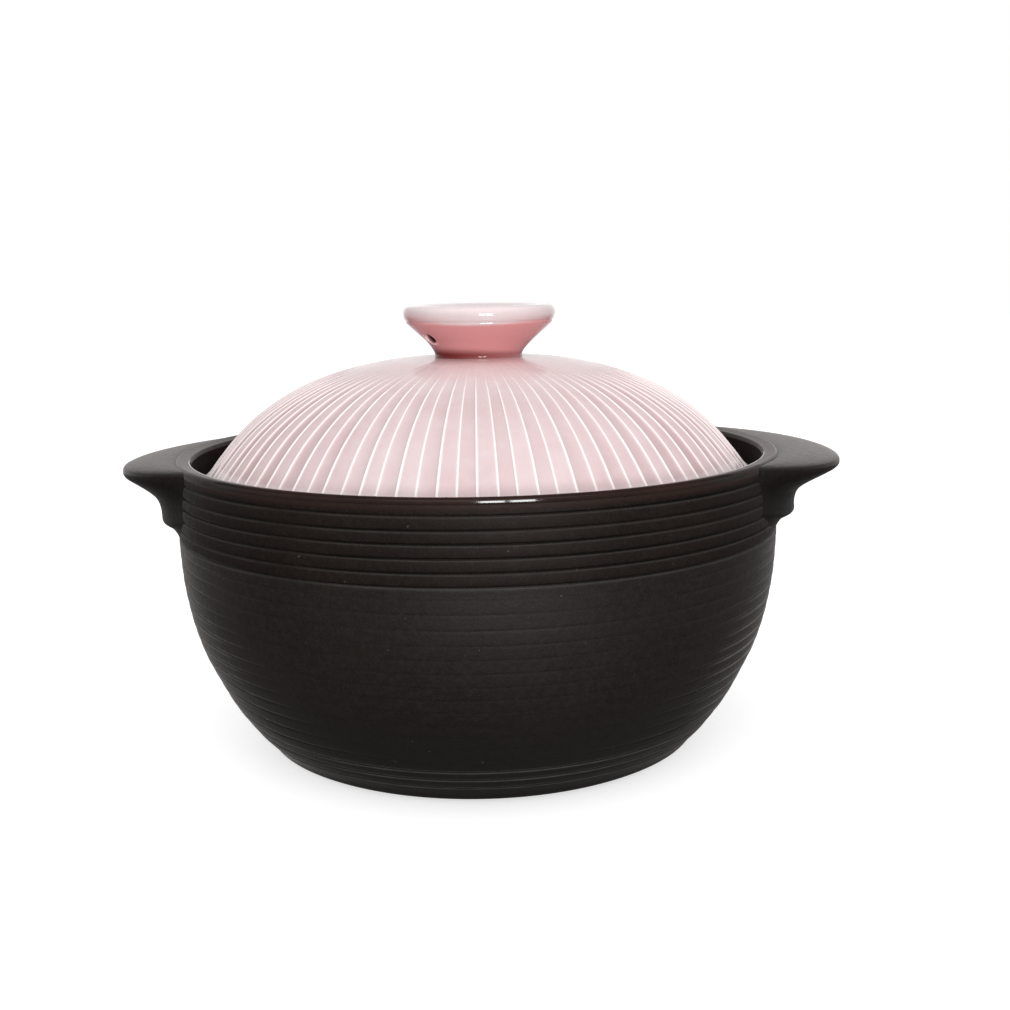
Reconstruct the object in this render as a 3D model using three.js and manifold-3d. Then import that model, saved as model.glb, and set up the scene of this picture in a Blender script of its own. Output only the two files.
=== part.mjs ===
// Clay pot: a dark stoneware bowl with two wing handles, and a loose pink dome lid with a hollow knob.
// Units are millimetres and +Z is up. The foot stands on z = 0, the bowl's axis is the Z axis, and
// the X axis runs through the two handles.
import * as THREE from 'three';
import { mergeVertices } from 'three/addons/utils/BufferGeometryUtils.js';
import Module from 'manifold-3d';

const wasm = await Module();
wasm.setup();

// ---------------------------------------------------------------- driving dimensions
const RIM_HEIGHT = 107.5;        // floor to the top of the bowl's rim
const LEDGE_HEIGHT = 97.5;       // floor to the ledge inside the rim that carries the lid
const FOOT_OUTER_RADIUS = 72.0;  // the flat ring that the bowl stands on
const FOOT_INNER_RADIUS = 64.0;
const FOOT_RECESS = 1.6;         // how far the middle of the base is lifted clear
const GAP = 0.3;                 // clearance left between pieces that meet

const HANDLE_REACH = 23.0;       // how far a wing stands out from the wall
const HANDLE_HALF_ANGLE = 33.0;  // degrees of wall that half a wing covers
const HANDLE_FULLNESS = 1.5;     // higher values pull the wing's ends in
const HANDLE_STATIONS = 18;      // sections along a wing

const LID_THICKNESS = 5.6;
const LID_STEAM_HOLE_RADIUS = 7.0;

const KNOB_BASE_HEIGHT = 142.7;  // floor to the underside of the knob
const VENT_RADIUS = 2.0;         // steam vent through the side of the knob
const VENT_LENGTH = 15.0;
const VENT_MIDDLE_RADIUS = 18.0; // where the vent's middle lies: radius and height
const VENT_HEIGHT = 151.2;
const VENT_BEARING = 216.0;      // degrees about +Z, from +X
const VENT_DIP = 30.0;           // degrees that the vent dips outwards

const ROUND_SEGMENTS = 64;
const KNOB_SEGMENTS = 40;

// Outside of the bowl from the foot to the rim: radius, height.
const BOWL_OUTSIDE = [
  [FOOT_OUTER_RADIUS, 0.0], [76.6, 0.75], [81.7, 2.3], [86.4, 7.8], [90.6, 13.4], [95.1, 20.2], [99.6, 29.1],
  [104.5, 40.3], [108.1, 53.8], [110.0, 67.2], [110.7, 80.6], [110.7, 94.1], [110.5, 105.6],
];
// Rounded rim, from outside to inside, then the ledge and the inside down to the axis.
const BOWL_RIM = [[110.2, RIM_HEIGHT - 0.5], [109.5, RIM_HEIGHT], [106.2, RIM_HEIGHT - 0.4], [105.0, RIM_HEIGHT - 1.8]];
const BOWL_INSIDE = [
  [104.4, LEDGE_HEIGHT], [98.4, LEDGE_HEIGHT], [97.5, 95.0], [98.5, 70.0], [97.2, 54.0], [94.0, 42.0],
  [89.3, 31.0], [83.0, 21.5], [76.0, 14.8], [67.0, 10.6], [54.0, 8.8], [0.0, 8.4],
];

// Outside of the dome lid, from the steam hole to the edge: radius, height.
const LID_OUTSIDE = [
  [LID_STEAM_HOLE_RADIUS, 142.35], [24.0, 141.6], [40.0, 139.45], [54.0, 135.6], [66.0, 130.7], [78.0, 123.4],
  [84.0, 118.6], [90.0, 112.8], [95.0, 107.3], [99.0, 102.4], [101.3, 99.6],
];
const LID_EDGE = [[102.0, 98.7], [101.2, LEDGE_HEIGHT + GAP], [96.8, LEDGE_HEIGHT + GAP]];

// Outside of the knob from its foot over the lip to the dished top, then the hollow: radius, height.
const KNOB_OUTSIDE = [
  [16.4, KNOB_BASE_HEIGHT], [16.9, 144.0], [18.3, 146.0], [20.6, 148.2], [22.9, 150.4], [25.2, 152.6], [27.2, 154.6],
  [28.1, 156.6], [27.8, 158.6], [26.5, 160.1], [24.4, 160.8], [21.0, 160.4], [14.0, 159.2], [0.0, 158.5],
];
const KNOB_HOLLOW = [
  [0.0, 154.4], [14.6, 154.0], [15.2, 152.6], [12.4, 149.6], [9.2, 145.6], [8.6, KNOB_BASE_HEIGHT],
];

// Section of a wing handle: distance out from the wall, height below the rim.
const HANDLE_SECTION = [
  [0.3, 0.35], [8.0, 0.85], [15.5, 1.8], [20.2, 2.8], [22.2, 3.8], [HANDLE_REACH, 5.4], [22.4, 7.2], [20.4, 8.7],
  [15.8, 10.8], [11.4, 13.0], [8.7, 15.6], [7.5, 18.8], [7.0, 22.0], [5.8, 25.0], [3.4, 27.4], [0.8, 29.5],
];

// ---------------------------------------------------------------- helpers
// Merge shared corners, drop the empty triangles on the axis and turn the faces outwards.
function closed(geometry) {
  const bare = geometry.index ? geometry.clone() : geometry;
  bare.deleteAttribute('normal');
  bare.deleteAttribute('uv');
  const merged = mergeVertices(bare, 1e-4);
  const p = merged.attributes.position;
  const kept = [];
  let volume = 0;
  const a = new THREE.Vector3(), b = new THREE.Vector3(), c = new THREE.Vector3();
  for (let i = 0; i < merged.index.count; i += 3) {
    const t = [0, 1, 2].map((k) => merged.index.getX(i + k));
    if (t[0] === t[1] || t[1] === t[2] || t[2] === t[0]) continue;
    a.fromBufferAttribute(p, t[0]); b.fromBufferAttribute(p, t[1]); c.fromBufferAttribute(p, t[2]);
    volume += a.dot(b.cross(c)) / 6;
    kept.push(t);
  }
  const index = kept.flatMap((t) => (volume < 0 ? [t[0], t[2], t[1]] : t));
  const out = new THREE.BufferGeometry();
  out.setAttribute('position', new THREE.BufferAttribute(new Float32Array(p.array), 3));
  out.setIndex(index);
  return out;
}

function toSolid(geometry) {
  const g = closed(geometry);
  return new wasm.Manifold(new wasm.Mesh({
    numProp: 3,
    vertProperties: new Float32Array(g.attributes.position.array),
    triVerts: new Uint32Array(g.index.array),
  }));
}

function toGeometry(solid) {
  const m = solid.getMesh();
  const g = new THREE.BufferGeometry();
  g.setAttribute('position', new THREE.BufferAttribute(new Float32Array(m.vertProperties), 3));
  g.setIndex(Array.from(m.triVerts));
  return g;
}

// Revolve a profile of [radius, height] points about the Z axis.
function revolve(profile, segments) {
  const points = profile.map(([r, z]) => new THREE.Vector2(r, z));
  return new THREE.LatheGeometry(points, segments).rotateX(Math.PI / 2);
}

// Radius of the bowl's outside at a height.
function wallRadius(z) {
  for (let i = 1; i < BOWL_OUTSIDE.length; i++) {
    const [r0, z0] = BOWL_OUTSIDE[i - 1], [r1, z1] = BOWL_OUTSIDE[i];
    if (z <= z1) return r0 + (r1 - r0) * (z - z0) / (z1 - z0);
  }
  return BOWL_OUTSIDE[BOWL_OUTSIDE.length - 1][0];
}

// Points of a profile moved inwards along its normals, for the inside of a shell of even thickness.
function inset(profile, thickness) {
  return profile.map(([r, z], i) => {
    const [r0, z0] = profile[Math.max(i - 1, 0)], [r1, z1] = profile[Math.min(i + 1, profile.length - 1)];
    const n = new THREE.Vector2(z0 - z1, r1 - r0).normalize();
    return [r - n.x * thickness, z - n.y * thickness];
  });
}

function piece(name, geometry, color, roughness) {
  geometry.computeVertexNormals();
  const mesh = new THREE.Mesh(geometry, new THREE.MeshStandardMaterial({ color, roughness, metalness: 0 }));
  mesh.name = name;
  return mesh;
}

// ---------------------------------------------------------------- bowl
const bowlProfile = [
  [0, FOOT_RECESS], [FOOT_INNER_RADIUS - 2, FOOT_RECESS - 0.2], [FOOT_INNER_RADIUS, 0],
  ...BOWL_OUTSIDE, ...BOWL_RIM, ...BOWL_INSIDE,
];
const bowl = piece('pot_bowl', closed(revolve(bowlProfile, ROUND_SEGMENTS)), 0x2a2522, 0.5);

// ---------------------------------------------------------------- handles
// A wing is a row of sections around the wall. Towards its ends the section is drawn in, its edge rises to
// the rim, and the bracket under it gets shorter.
const LIP = HANDLE_SECTION[5][1];      // depth of the wing's outermost line
const UNDERSIDE = HANDLE_SECTION[7][1]; // depth of the lower edge of the wing
const FULL_DEPTH = HANDLE_SECTION[HANDLE_SECTION.length - 1][1];
function sectionDepth(down, reach, t) {
  const lip = LIP * (0.3 + 0.7 * reach);
  if (down <= LIP) return down * lip / LIP;
  const under = lip + (UNDERSIDE - LIP) + 1.2 * (1 - reach);
  if (down <= UNDERSIDE) return lip + (down - LIP) * (under - lip) / (UNDERSIDE - LIP);
  const deepest = FULL_DEPTH * (1 - 0.38 * Math.pow(t, 4));
  return under + (down - UNDERSIDE) * (deepest - under) / (FULL_DEPTH - UNDERSIDE);
}
function wing() {
  const positions = [];
  const innerSteps = 5;
  const ring = HANDLE_SECTION.length + innerSteps;
  let capOutline = null;
  for (let s = 0; s <= HANDLE_STATIONS; s++) {
    const t = 2 * s / HANDLE_STATIONS - 1;
    const angle = THREE.MathUtils.degToRad(HANDLE_HALF_ANGLE * t);
    const reach = Math.max(Math.pow(1 - t * t, HANDLE_FULLNESS), 0.03);
    const outer = HANDLE_SECTION.map(([out, down]) => {
      const z = RIM_HEIGHT - sectionDepth(down, reach, t);
      return [wallRadius(z) + GAP + Math.max(out * reach, 0.25), z];
    });
    const top = outer[0][1], bottom = outer[outer.length - 1][1];
    const inner = [];
    for (let k = 0; k < innerSteps; k++) {
      const z = bottom + (top - bottom) * k / (innerSteps - 1);
      inner.push([wallRadius(z) + GAP, z]);
    }
    const outline = [...outer, ...inner];
    if (s === 0) capOutline = outline.map(([r, z]) => new THREE.Vector2(r, z));
    for (const [r, z] of outline) positions.push(r * Math.cos(angle), r * Math.sin(angle), z);
  }
  const index = [];
  for (let s = 0; s < HANDLE_STATIONS; s++) {
    for (let k = 0; k < ring; k++) {
      const a = s * ring + k, b = s * ring + (k + 1) % ring, c = a + ring, d = b + ring;
      index.push(a, b, c, b, d, c);
    }
  }
  // The ends are closed by flat caps, turned the same way round as the sections.
  const last = HANDLE_STATIONS * ring;
  const turn = Math.sign(THREE.ShapeUtils.area(capOutline));
  for (const face of THREE.ShapeUtils.triangulateShape(capOutline, [])) {
    const same = Math.sign(THREE.ShapeUtils.area(face.map((n) => capOutline[n]))) === turn;
    const [i, j, k] = same ? face : [face[0], face[2], face[1]];
    index.push(i, k, j);
    index.push(last + i, last + j, last + k);
  }
  const g = new THREE.BufferGeometry();
  g.setAttribute('position', new THREE.BufferAttribute(new Float32Array(positions), 3));
  g.setIndex(index);
  return closed(g);
}
const handleRight = piece('handle_right', wing(), 0x2c2724, 0.5);
const handleLeft = piece('handle_left', wing(), 0x2c2724, 0.5);
handleLeft.rotation.z = Math.PI;

// ---------------------------------------------------------------- lid
const lidInside = inset(LID_OUTSIDE.slice(0, -1), LID_THICKNESS).reverse();
lidInside[lidInside.length - 1][0] = LID_STEAM_HOLE_RADIUS;
const lidProfile = [...LID_OUTSIDE, ...LID_EDGE, ...lidInside, LID_OUTSIDE[0]];
const lid = piece('lid_dome', closed(revolve(lidProfile, ROUND_SEGMENTS)), 0xe6c6c8, 0.18);

// ---------------------------------------------------------------- knob
const knobProfile = [...KNOB_OUTSIDE, ...KNOB_HOLLOW, KNOB_OUTSIDE[0]];
const vent = new THREE.CylinderGeometry(VENT_RADIUS, VENT_RADIUS, VENT_LENGTH, 16);
vent.rotateZ(Math.PI / 2);
vent.rotateY(THREE.MathUtils.degToRad(VENT_DIP));
vent.translate(VENT_MIDDLE_RADIUS, 0, VENT_HEIGHT);
vent.rotateZ(THREE.MathUtils.degToRad(VENT_BEARING));
const knobSolid = toSolid(revolve(knobProfile, KNOB_SEGMENTS)).subtract(toSolid(vent));
const knob = piece('lid_knob', closed(toGeometry(knobSolid)), 0xe0b4b4, 0.18);

// ---------------------------------------------------------------- assembly
const pot = new THREE.Group();
pot.add(bowl, handleLeft, handleRight);
const cover = new THREE.Group();
cover.add(lid, knob);
const clayPot = new THREE.Group();
clayPot.add(pot, cover);

export default clayPot;
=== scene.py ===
import math

import bpy
import numpy as np
from mathutils import Matrix, Vector


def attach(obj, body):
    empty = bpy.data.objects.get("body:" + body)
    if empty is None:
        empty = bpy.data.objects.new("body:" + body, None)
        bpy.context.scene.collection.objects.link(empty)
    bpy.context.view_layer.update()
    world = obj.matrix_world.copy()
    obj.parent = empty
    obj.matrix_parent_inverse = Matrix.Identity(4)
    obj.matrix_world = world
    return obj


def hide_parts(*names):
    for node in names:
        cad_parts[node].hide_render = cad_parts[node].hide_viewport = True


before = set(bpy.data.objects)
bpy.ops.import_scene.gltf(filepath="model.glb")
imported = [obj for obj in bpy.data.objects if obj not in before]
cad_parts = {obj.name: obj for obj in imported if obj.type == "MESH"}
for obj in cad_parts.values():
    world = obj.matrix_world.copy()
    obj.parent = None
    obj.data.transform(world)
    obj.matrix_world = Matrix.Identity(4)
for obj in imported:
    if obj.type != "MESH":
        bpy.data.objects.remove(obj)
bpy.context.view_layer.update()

MM = 0.001
RIM_Z = 107.5      # top of the bowl's rim, mm above the floor
LEDGE_Z = 97.5     # ledge inside the rim
scene = bpy.context.scene


# ------------------------------------------------------------------ curves and meshes
def pchip(xk, yk):
    """Smooth curve through points that never overshoots them."""
    xk, yk = np.asarray(xk, float), np.asarray(yk, float)
    h = np.diff(xk)
    d = np.diff(yk) / h
    m = np.zeros_like(yk)
    m[0], m[-1] = d[0], d[-1]
    for i in range(1, len(xk) - 1):
        if d[i - 1] * d[i] > 0:
            w1, w2 = 2 * h[i] + h[i - 1], h[i] + 2 * h[i - 1]
            m[i] = (w1 + w2) / (w1 / d[i - 1] + w2 / d[i])

    def f(x):
        x = np.asarray(x, float)
        i = np.clip(np.searchsorted(xk, x) - 1, 0, len(h) - 1)
        t = np.clip((x - xk[i]) / h[i], 0, 1)
        return (
            (1 + 2 * t) * (1 - t) ** 2 * yk[i]
            + t * (1 - t) ** 2 * h[i] * m[i]
            + t * t * (3 - 2 * t) * yk[i + 1]
            + t * t * (t - 1) * h[i] * m[i + 1]
        )

    return f


def spline(points, step):
    """Dense polyline, about step apart, on a centripetal curve through the points."""
    p = np.asarray(points, float)
    p = np.vstack([2 * p[0] - p[1], p, 2 * p[-1] - p[-2]])
    out = []
    for i in range(1, len(p) - 2):
        p0, p1, p2, p3 = p[i - 1 : i + 3]
        t0 = 0.0
        t1 = t0 + max(np.linalg.norm(p1 - p0), 1e-9) ** 0.5
        t2 = t1 + max(np.linalg.norm(p2 - p1), 1e-9) ** 0.5
        t3 = t2 + max(np.linalg.norm(p3 - p2), 1e-9) ** 0.5
        n = max(1, int(math.ceil(np.linalg.norm(p2 - p1) / step)))
        for t in np.linspace(t1, t2, n, endpoint=False):
            a1 = (t1 - t) / (t1 - t0) * p0 + (t - t0) / (t1 - t0) * p1
            a2 = (t2 - t) / (t2 - t1) * p1 + (t - t1) / (t2 - t1) * p2
            a3 = (t3 - t) / (t3 - t2) * p2 + (t - t2) / (t3 - t2) * p3
            b1 = (t2 - t) / (t2 - t0) * a1 + (t - t0) / (t2 - t0) * a2
            b2 = (t3 - t) / (t3 - t1) * a2 + (t - t1) / (t3 - t1) * a3
            out.append((t2 - t) / (t2 - t1) * b1 + (t - t1) / (t2 - t1) * b2)
    out.append(p[-2])
    return np.array(out)


def lengths(p):
    return np.concatenate([[0], np.cumsum(np.linalg.norm(np.diff(p, axis=0), axis=1))])


def normals2(p):
    """Unit normals of a profile, to the right of its direction of travel."""
    t = np.gradient(p, axis=0)
    t /= np.maximum(np.linalg.norm(t, axis=1, keepdims=True), 1e-12)
    return np.stack([t[:, 1], -t[:, 0]], 1)


def smooth(x, a, b):
    t = np.clip((np.asarray(x, float) - a) / (b - a), 0, 1)
    return t * t * (3 - 2 * t)


def new_object(name, verts, quads, tris=()):
    """Mesh object from vertices in millimetres, quads and triangles."""
    mesh = bpy.data.meshes.new(name)
    quads, tris = np.asarray(quads, np.int32).reshape(-1, 4), np.asarray(tris, np.int32).reshape(-1, 3)
    loops = np.concatenate([quads.ravel(), tris.ravel()])
    starts = np.concatenate([np.arange(len(quads)) * 4, len(quads) * 4 + np.arange(len(tris)) * 3]).astype(np.int32)
    mesh.vertices.add(len(verts))
    mesh.vertices.foreach_set("co", (np.asarray(verts, np.float32) * MM).ravel())
    mesh.loops.add(len(loops))
    mesh.loops.foreach_set("vertex_index", loops.astype(np.int32))
    mesh.polygons.add(len(starts))
    mesh.polygons.foreach_set("loop_start", starts)
    mesh.update(calc_edges=True)
    mesh.validate()
    mesh.polygons.foreach_set("use_smooth", np.ones(len(mesh.polygons), bool))
    obj = bpy.data.objects.new(name, mesh)
    scene.collection.objects.link(obj)
    return obj


def put(mesh, name, values):
    a = mesh.attributes.new(name, "FLOAT", "POINT")
    a.data.foreach_set("value", np.asarray(values, np.float32).ravel())


def turned(name, rad, hgt, phis, start_pole=None, end_pole=None, loop=False):
    """Surface round the Z axis. rad and hgt are arrays [profile point, angle]; poles close it on the axis."""
    k, n = rad.shape
    verts = np.stack([rad * np.cos(phis), rad * np.sin(phis), hgt], -1).reshape(-1, 3)
    i = np.arange(k if loop else k - 1)
    a = (i[:, None] * n + np.arange(n)[None]).ravel()
    b = (i[:, None] * n + (np.arange(n)[None] + 1) % n).ravel()
    c = (((i + 1) % k)[:, None] * n + (np.arange(n)[None] + 1) % n).ravel()
    d = (((i + 1) % k)[:, None] * n + np.arange(n)[None]).ravel()
    quads = np.stack([a, b, c, d], 1)
    tris = []
    extra = []
    j = np.arange(n)
    if start_pole is not None:
        extra.append((0, 0, start_pole))
        s = len(verts) + len(extra) - 1
        tris.append(np.stack([np.full(n, s), (j + 1) % n, j], 1))
    if end_pole is not None:
        extra.append((0, 0, end_pole))
        s = len(verts) + len(extra) - 1
        base = (k - 1) * n
        tris.append(np.stack([np.full(n, s), base + j, base + (j + 1) % n], 1))
    if extra:
        verts = np.vstack([verts, extra])
    return new_object(name, verts, quads, np.vstack(tris) if tris else ())


# ------------------------------------------------------------------ node helpers
def material(name):
    m = bpy.data.materials.new(name)
    m.use_nodes = True
    t = m.node_tree
    t.nodes.clear()
    out = t.nodes.new("ShaderNodeOutputMaterial")
    bsdf = t.nodes.new("ShaderNodeBsdfPrincipled")
    t.links.new(bsdf.outputs[0], out.inputs[0])
    return m, t, bsdf


def attr(t, name):
    n = t.nodes.new("ShaderNodeAttribute")
    n.attribute_name = name
    return n.outputs["Fac"]


def noise(t, scale, detail=3.0, rough=0.55, stretch=None):
    co = t.nodes.new("ShaderNodeTexCoord").outputs["Object"]
    if stretch:
        mp = t.nodes.new("ShaderNodeMapping")
        mp.inputs["Scale"].default_value = stretch
        t.links.new(co, mp.inputs["Vector"])
        co = mp.outputs["Vector"]
    n = t.nodes.new("ShaderNodeTexNoise")
    n.inputs["Scale"].default_value = scale
    n.inputs["Detail"].default_value = detail
    n.inputs["Roughness"].default_value = rough
    t.links.new(co, n.inputs["Vector"])
    return n.outputs["Fac"]


def remap(t, value, a, b, c, d):
    n = t.nodes.new("ShaderNodeMapRange")
    n.inputs[1].default_value, n.inputs[2].default_value = a, b
    n.inputs[3].default_value, n.inputs[4].default_value = c, d
    t.links.new(value, n.inputs[0])
    return n.outputs[0]


def math_node(t, op, a, b):
    n = t.nodes.new("ShaderNodeMath")
    n.operation = op
    for s, v in ((0, a), (1, b)):
        if isinstance(v, (int, float)):
            n.inputs[s].default_value = v
        else:
            t.links.new(v, n.inputs[s])
    return n.outputs[0]


def blend(t, fac, a, b, mode="MIX"):
    n = t.nodes.new("ShaderNodeMix")
    n.data_type = "RGBA"
    n.blend_type = mode
    for s, v in ((0, fac), (6, a), (7, b)):
        if isinstance(v, (int, float)):
            n.inputs[s].default_value = v
        elif isinstance(v, tuple):
            n.inputs[s].default_value = (*v, 1.0)
        else:
            t.links.new(v, n.inputs[s])
    return n.outputs[2]


def bump(t, height, strength, distance, normal=None):
    n = t.nodes.new("ShaderNodeBump")
    n.inputs["Strength"].default_value = strength
    n.inputs["Distance"].default_value = distance
    t.links.new(height, n.inputs["Height"])
    if normal is not None:
        t.links.new(normal, n.inputs["Normal"])
    return n.outputs[0]


# ------------------------------------------------------------------ materials
def stoneware(name, level, bloom, dark=(0.0064, 0.0042, 0.0034), light=(0.0100, 0.0069, 0.0056)):
    """Satin brown-black glaze on ribbed stoneware: mottled, a little grainy, with painted shade in the grooves and
    under the wings, and painted highlights on the rib crests and along the groove edges.
    """
    m, t, b = material(name)
    broad = noise(t, 28, 4, 0.6)
    fine = noise(t, 420, 3, 0.6)
    grain = noise(t, 1500, 2, 0.6)
    col = blend(t, remap(t, broad, 0.35, 0.68, 0, 1), dark, light)
    col = blend(t, remap(t, fine, 0.45, 0.75, 0, 0.55), col, (0.0160, 0.0115, 0.0094))
    col = blend(t, remap(t, grain, 0.50, 0.76, 0, 0.50), col, (0.0230, 0.0190, 0.0168))
    col = blend(t, remap(t, attr(t, "low"), 0.0, 1.0, 0.0, 0.75), col, (0.0074, 0.0066, 0.0060))
    # Painted light in the colour: a painted highlight on the rib crests and wing edges, painted shade in the grooves,
    # under the wings and beside the handles, and painted glints along the groove edges.
    col = blend(t, remap(t, attr(t, "crest"), 0.0, 1.0, 0.0, 0.14), col, (0.0200, 0.0150, 0.0124))
    col = blend(t, remap(t, attr(t, "painted_shade"), 0.0, 1.0, 0.0, 0.85), col, (0.0022, 0.0017, 0.0015))
    glint_mask = math_node(t, "MULTIPLY", attr(t, "edge"), remap(t, noise(t, 130, 3, 0.6), 0.3, 0.7, 0.55, 1.0))
    col = blend(t, glint_mask, col, (0.215, 0.203, 0.190))
    col = blend(t, math_node(t, "MULTIPLY", attr(t, "lip"), 0.7), col, (0.034, 0.0165, 0.0120))
    speck = noise(t, 900, 1, 0.4)
    col = blend(t, remap(t, speck, 0.80, 0.82, 0, 0.5), col, (0.11, 0.095, 0.08))
    t.links.new(col, b.inputs["Base Color"])
    t.links.new(remap(t, fine, 0.3, 0.75, 0.52, 0.66), b.inputs["Roughness"])
    b.inputs["Specular IOR Level"].default_value = level
    b.inputs["Sheen Weight"].default_value = bloom
    b.inputs["Sheen Roughness"].default_value = 0.32
    b.inputs["Sheen Tint"].default_value = (1.0, 0.955, 0.925, 1.0)
    n1 = bump(t, broad, 0.12, 0.0012)
    n2 = bump(t, fine, 0.50, 0.00022, n1)
    t.links.new(bump(t, grain, 0.60, 0.00008, n2), b.inputs["Normal"])
    return m


def inner_glaze(name, smoothest, roughest, level):
    """Dark glaze inside the pot."""
    m, t, b = material(name)
    broad = noise(t, 35, 4, 0.6)
    fine = noise(t, 520, 2, 0.5)
    col = blend(t, remap(t, broad, 0.35, 0.7, 0, 1), (0.0060, 0.0040, 0.0034), (0.0120, 0.0076, 0.0062))
    t.links.new(col, b.inputs["Base Color"])
    t.links.new(remap(t, fine, 0.3, 0.7, smoothest, roughest), b.inputs["Roughness"])
    b.inputs["Specular IOR Level"].default_value = level
    n1 = bump(t, broad, 0.10, 0.0010)
    t.links.new(bump(t, fine, 0.10, 0.00012, n1), b.inputs["Normal"])
    return m


def rim_glaze(name, smoothest, roughest, level):
    """Thicker brown glaze on the rolled edges of the rim, thinning out where the handles were luted on."""
    m, t, b = material(name)
    broad = noise(t, 45, 4, 0.6)
    fine = noise(t, 600, 2, 0.5)
    col = blend(t, remap(t, broad, 0.35, 0.7, 0, 1), (0.0150, 0.0062, 0.0044), (0.0250, 0.0108, 0.0078))
    col = blend(t, remap(t, fine, 0.55, 0.75, 0, 0.4), col, (0.0300, 0.0150, 0.0110))
    col = blend(t, attr(t, "gloss"), (0.0095, 0.0068, 0.0056), col)
    t.links.new(col, b.inputs["Base Color"])
    satin = math_node(t, "SUBTRACT", 1.0, attr(t, "gloss"))
    t.links.new(math_node(t, "MAXIMUM", remap(t, fine, 0.3, 0.7, smoothest, roughest), math_node(t, "MULTIPLY", satin, 0.62)), b.inputs["Roughness"])
    b.inputs["Specular IOR Level"].default_value = level
    n1 = bump(t, broad, 0.04, 0.0006)
    t.links.new(bump(t, fine, 0.03, 0.00005, n1), b.inputs["Normal"])
    return m


def bare_clay(name, dark, light):
    """Unglazed fired clay: matt, sandy, with small dark grog."""
    m, t, b = material(name)
    broad = noise(t, 60, 4, 0.6)
    sand = noise(t, 1300, 3, 0.65)
    grog = noise(t, 700, 1, 0.4)
    col = blend(t, remap(t, broad, 0.3, 0.7, 0, 1), dark, light)
    col = blend(t, remap(t, grog, 0.66, 0.72, 0, 0.6), col, (0.05, 0.035, 0.028))
    t.links.new(col, b.inputs["Base Color"])
    t.links.new(remap(t, sand, 0.3, 0.7, 0.75, 0.92), b.inputs["Roughness"])
    t.links.new(bump(t, sand, 0.5, 0.00018), b.inputs["Normal"])
    return m


def pink_glaze(name, smoothest, roughest, ripple, level):
    """Glossy pink glaze that breaks pale over edges and gathers darker in hollows, with painted shade, painted
    highlights and a painted reflection of the knob mixed into its colour.
    """
    m, t, b = material(name)
    broad = noise(t, 42, 3, 0.55)
    streak = noise(t, 150, 3, 0.6)
    fine = noise(t, 900, 2, 0.5)
    col = blend(t, remap(t, broad, 0.32, 0.70, 0, 1), (0.605, 0.455, 0.462), (0.652, 0.525, 0.532))
    col = blend(t, remap(t, streak, 0.45, 0.72, 0, 0.45), col, (0.685, 0.570, 0.573))
    # Painted light in the colour, in the next five lines: painted shade; deeper pink glaze with painted shade and a
    # painted reflection of the knob; glaze breaking pale with painted highlights; darker red where the glaze gathers,
    # with painted shade; painted shade inside the vent.
    col = blend(t, attr(t, "shade"), col, (0.330, 0.215, 0.215))
    col = blend(t, math_node(t, "MULTIPLY", attr(t, "deep"), 0.9), col, (0.745, 0.262, 0.262))
    col = blend(t, math_node(t, "MULTIPLY", attr(t, "pale"), 0.88), col, (0.955, 0.885, 0.880))
    col = blend(t, attr(t, "pool_and_shade"), col, (0.180, 0.020, 0.018))
    col = blend(t, attr(t, "vent_shade"), col, (0.016, 0.006, 0.005))
    col = blend(t, remap(t, fine, 0.70, 0.76, 0, 0.18), col, (0.45, 0.25, 0.24))
    t.links.new(col, b.inputs["Base Color"])
    t.links.new(remap(t, streak, 0.3, 0.75, smoothest, roughest), b.inputs["Roughness"])
    b.inputs["Specular IOR Level"].default_value = level
    n1 = bump(t, streak, ripple, 0.0006)
    t.links.new(bump(t, fine, 0.05, 0.00006, n1), b.inputs["Normal"])
    return m


def lid_inside():
    """Pale glaze under the lid."""
    m, t, b = material("lid_underside")
    broad = noise(t, 50, 3, 0.55)
    fine = noise(t, 800, 2, 0.5)
    col = blend(t, remap(t, broad, 0.3, 0.7, 0, 1), (0.74, 0.52, 0.52), (0.82, 0.64, 0.63))
    col = blend(t, remap(t, fine, 0.66, 0.74, 0, 0.25), col, (0.45, 0.27, 0.25))
    t.links.new(col, b.inputs["Base Color"])
    t.links.new(remap(t, broad, 0.3, 0.7, 0.14, 0.26), b.inputs["Roughness"])
    t.links.new(bump(t, broad, 0.06, 0.0006), b.inputs["Normal"])
    return m


# The stoneware copies differ only in shine and, for the upper wall, colour: the extra sheen of the wing and joint
# copies is a painted highlight on the wing tops and the rim beside them, and the duller underside and upper-wall copies
# are painted shade; the upper-wall copy is also browner.
MAT_STONE = stoneware("stoneware_satin", 0.27, 0.16)
MAT_UPPER = stoneware("stoneware_upper_darkened", 0.12, 0.05, (0.0072, 0.0038, 0.0028), (0.0112, 0.0062, 0.0046))
MAT_WING = stoneware("stoneware_wing_sheen_lit", 0.27, 0.36)
MAT_JOINT = stoneware("stoneware_joint_sheen_lit", 0.27, 0.24)
MAT_SHADE = stoneware("stoneware_underside_shaded", 0.17, 0.06)
MAT_INNER = inner_glaze("inner_gloss", 0.10, 0.19, 0.34)
MAT_GALLERY = inner_glaze("gallery_satin", 0.56, 0.68, 0.03)
MAT_RIM = rim_glaze("rim_gloss", 0.06, 0.10, 0.48)
MAT_CREST = rim_glaze("rim_crest", 0.45, 0.55, 0.07)
MAT_FOOT = bare_clay("foot_bare_clay", (0.115, 0.078, 0.058), (0.165, 0.115, 0.085))
MAT_PINK = pink_glaze("lid_gloss", 0.10, 0.18, 0.09, 0.26)
MAT_KNOB = pink_glaze("knob_gloss", 0.04, 0.07, 0.012, 0.5)
MAT_UNDER = lid_inside()
MAT_SEAT = bare_clay("lid_seat_clay", (0.62, 0.54, 0.46), (0.72, 0.65, 0.56))


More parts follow.
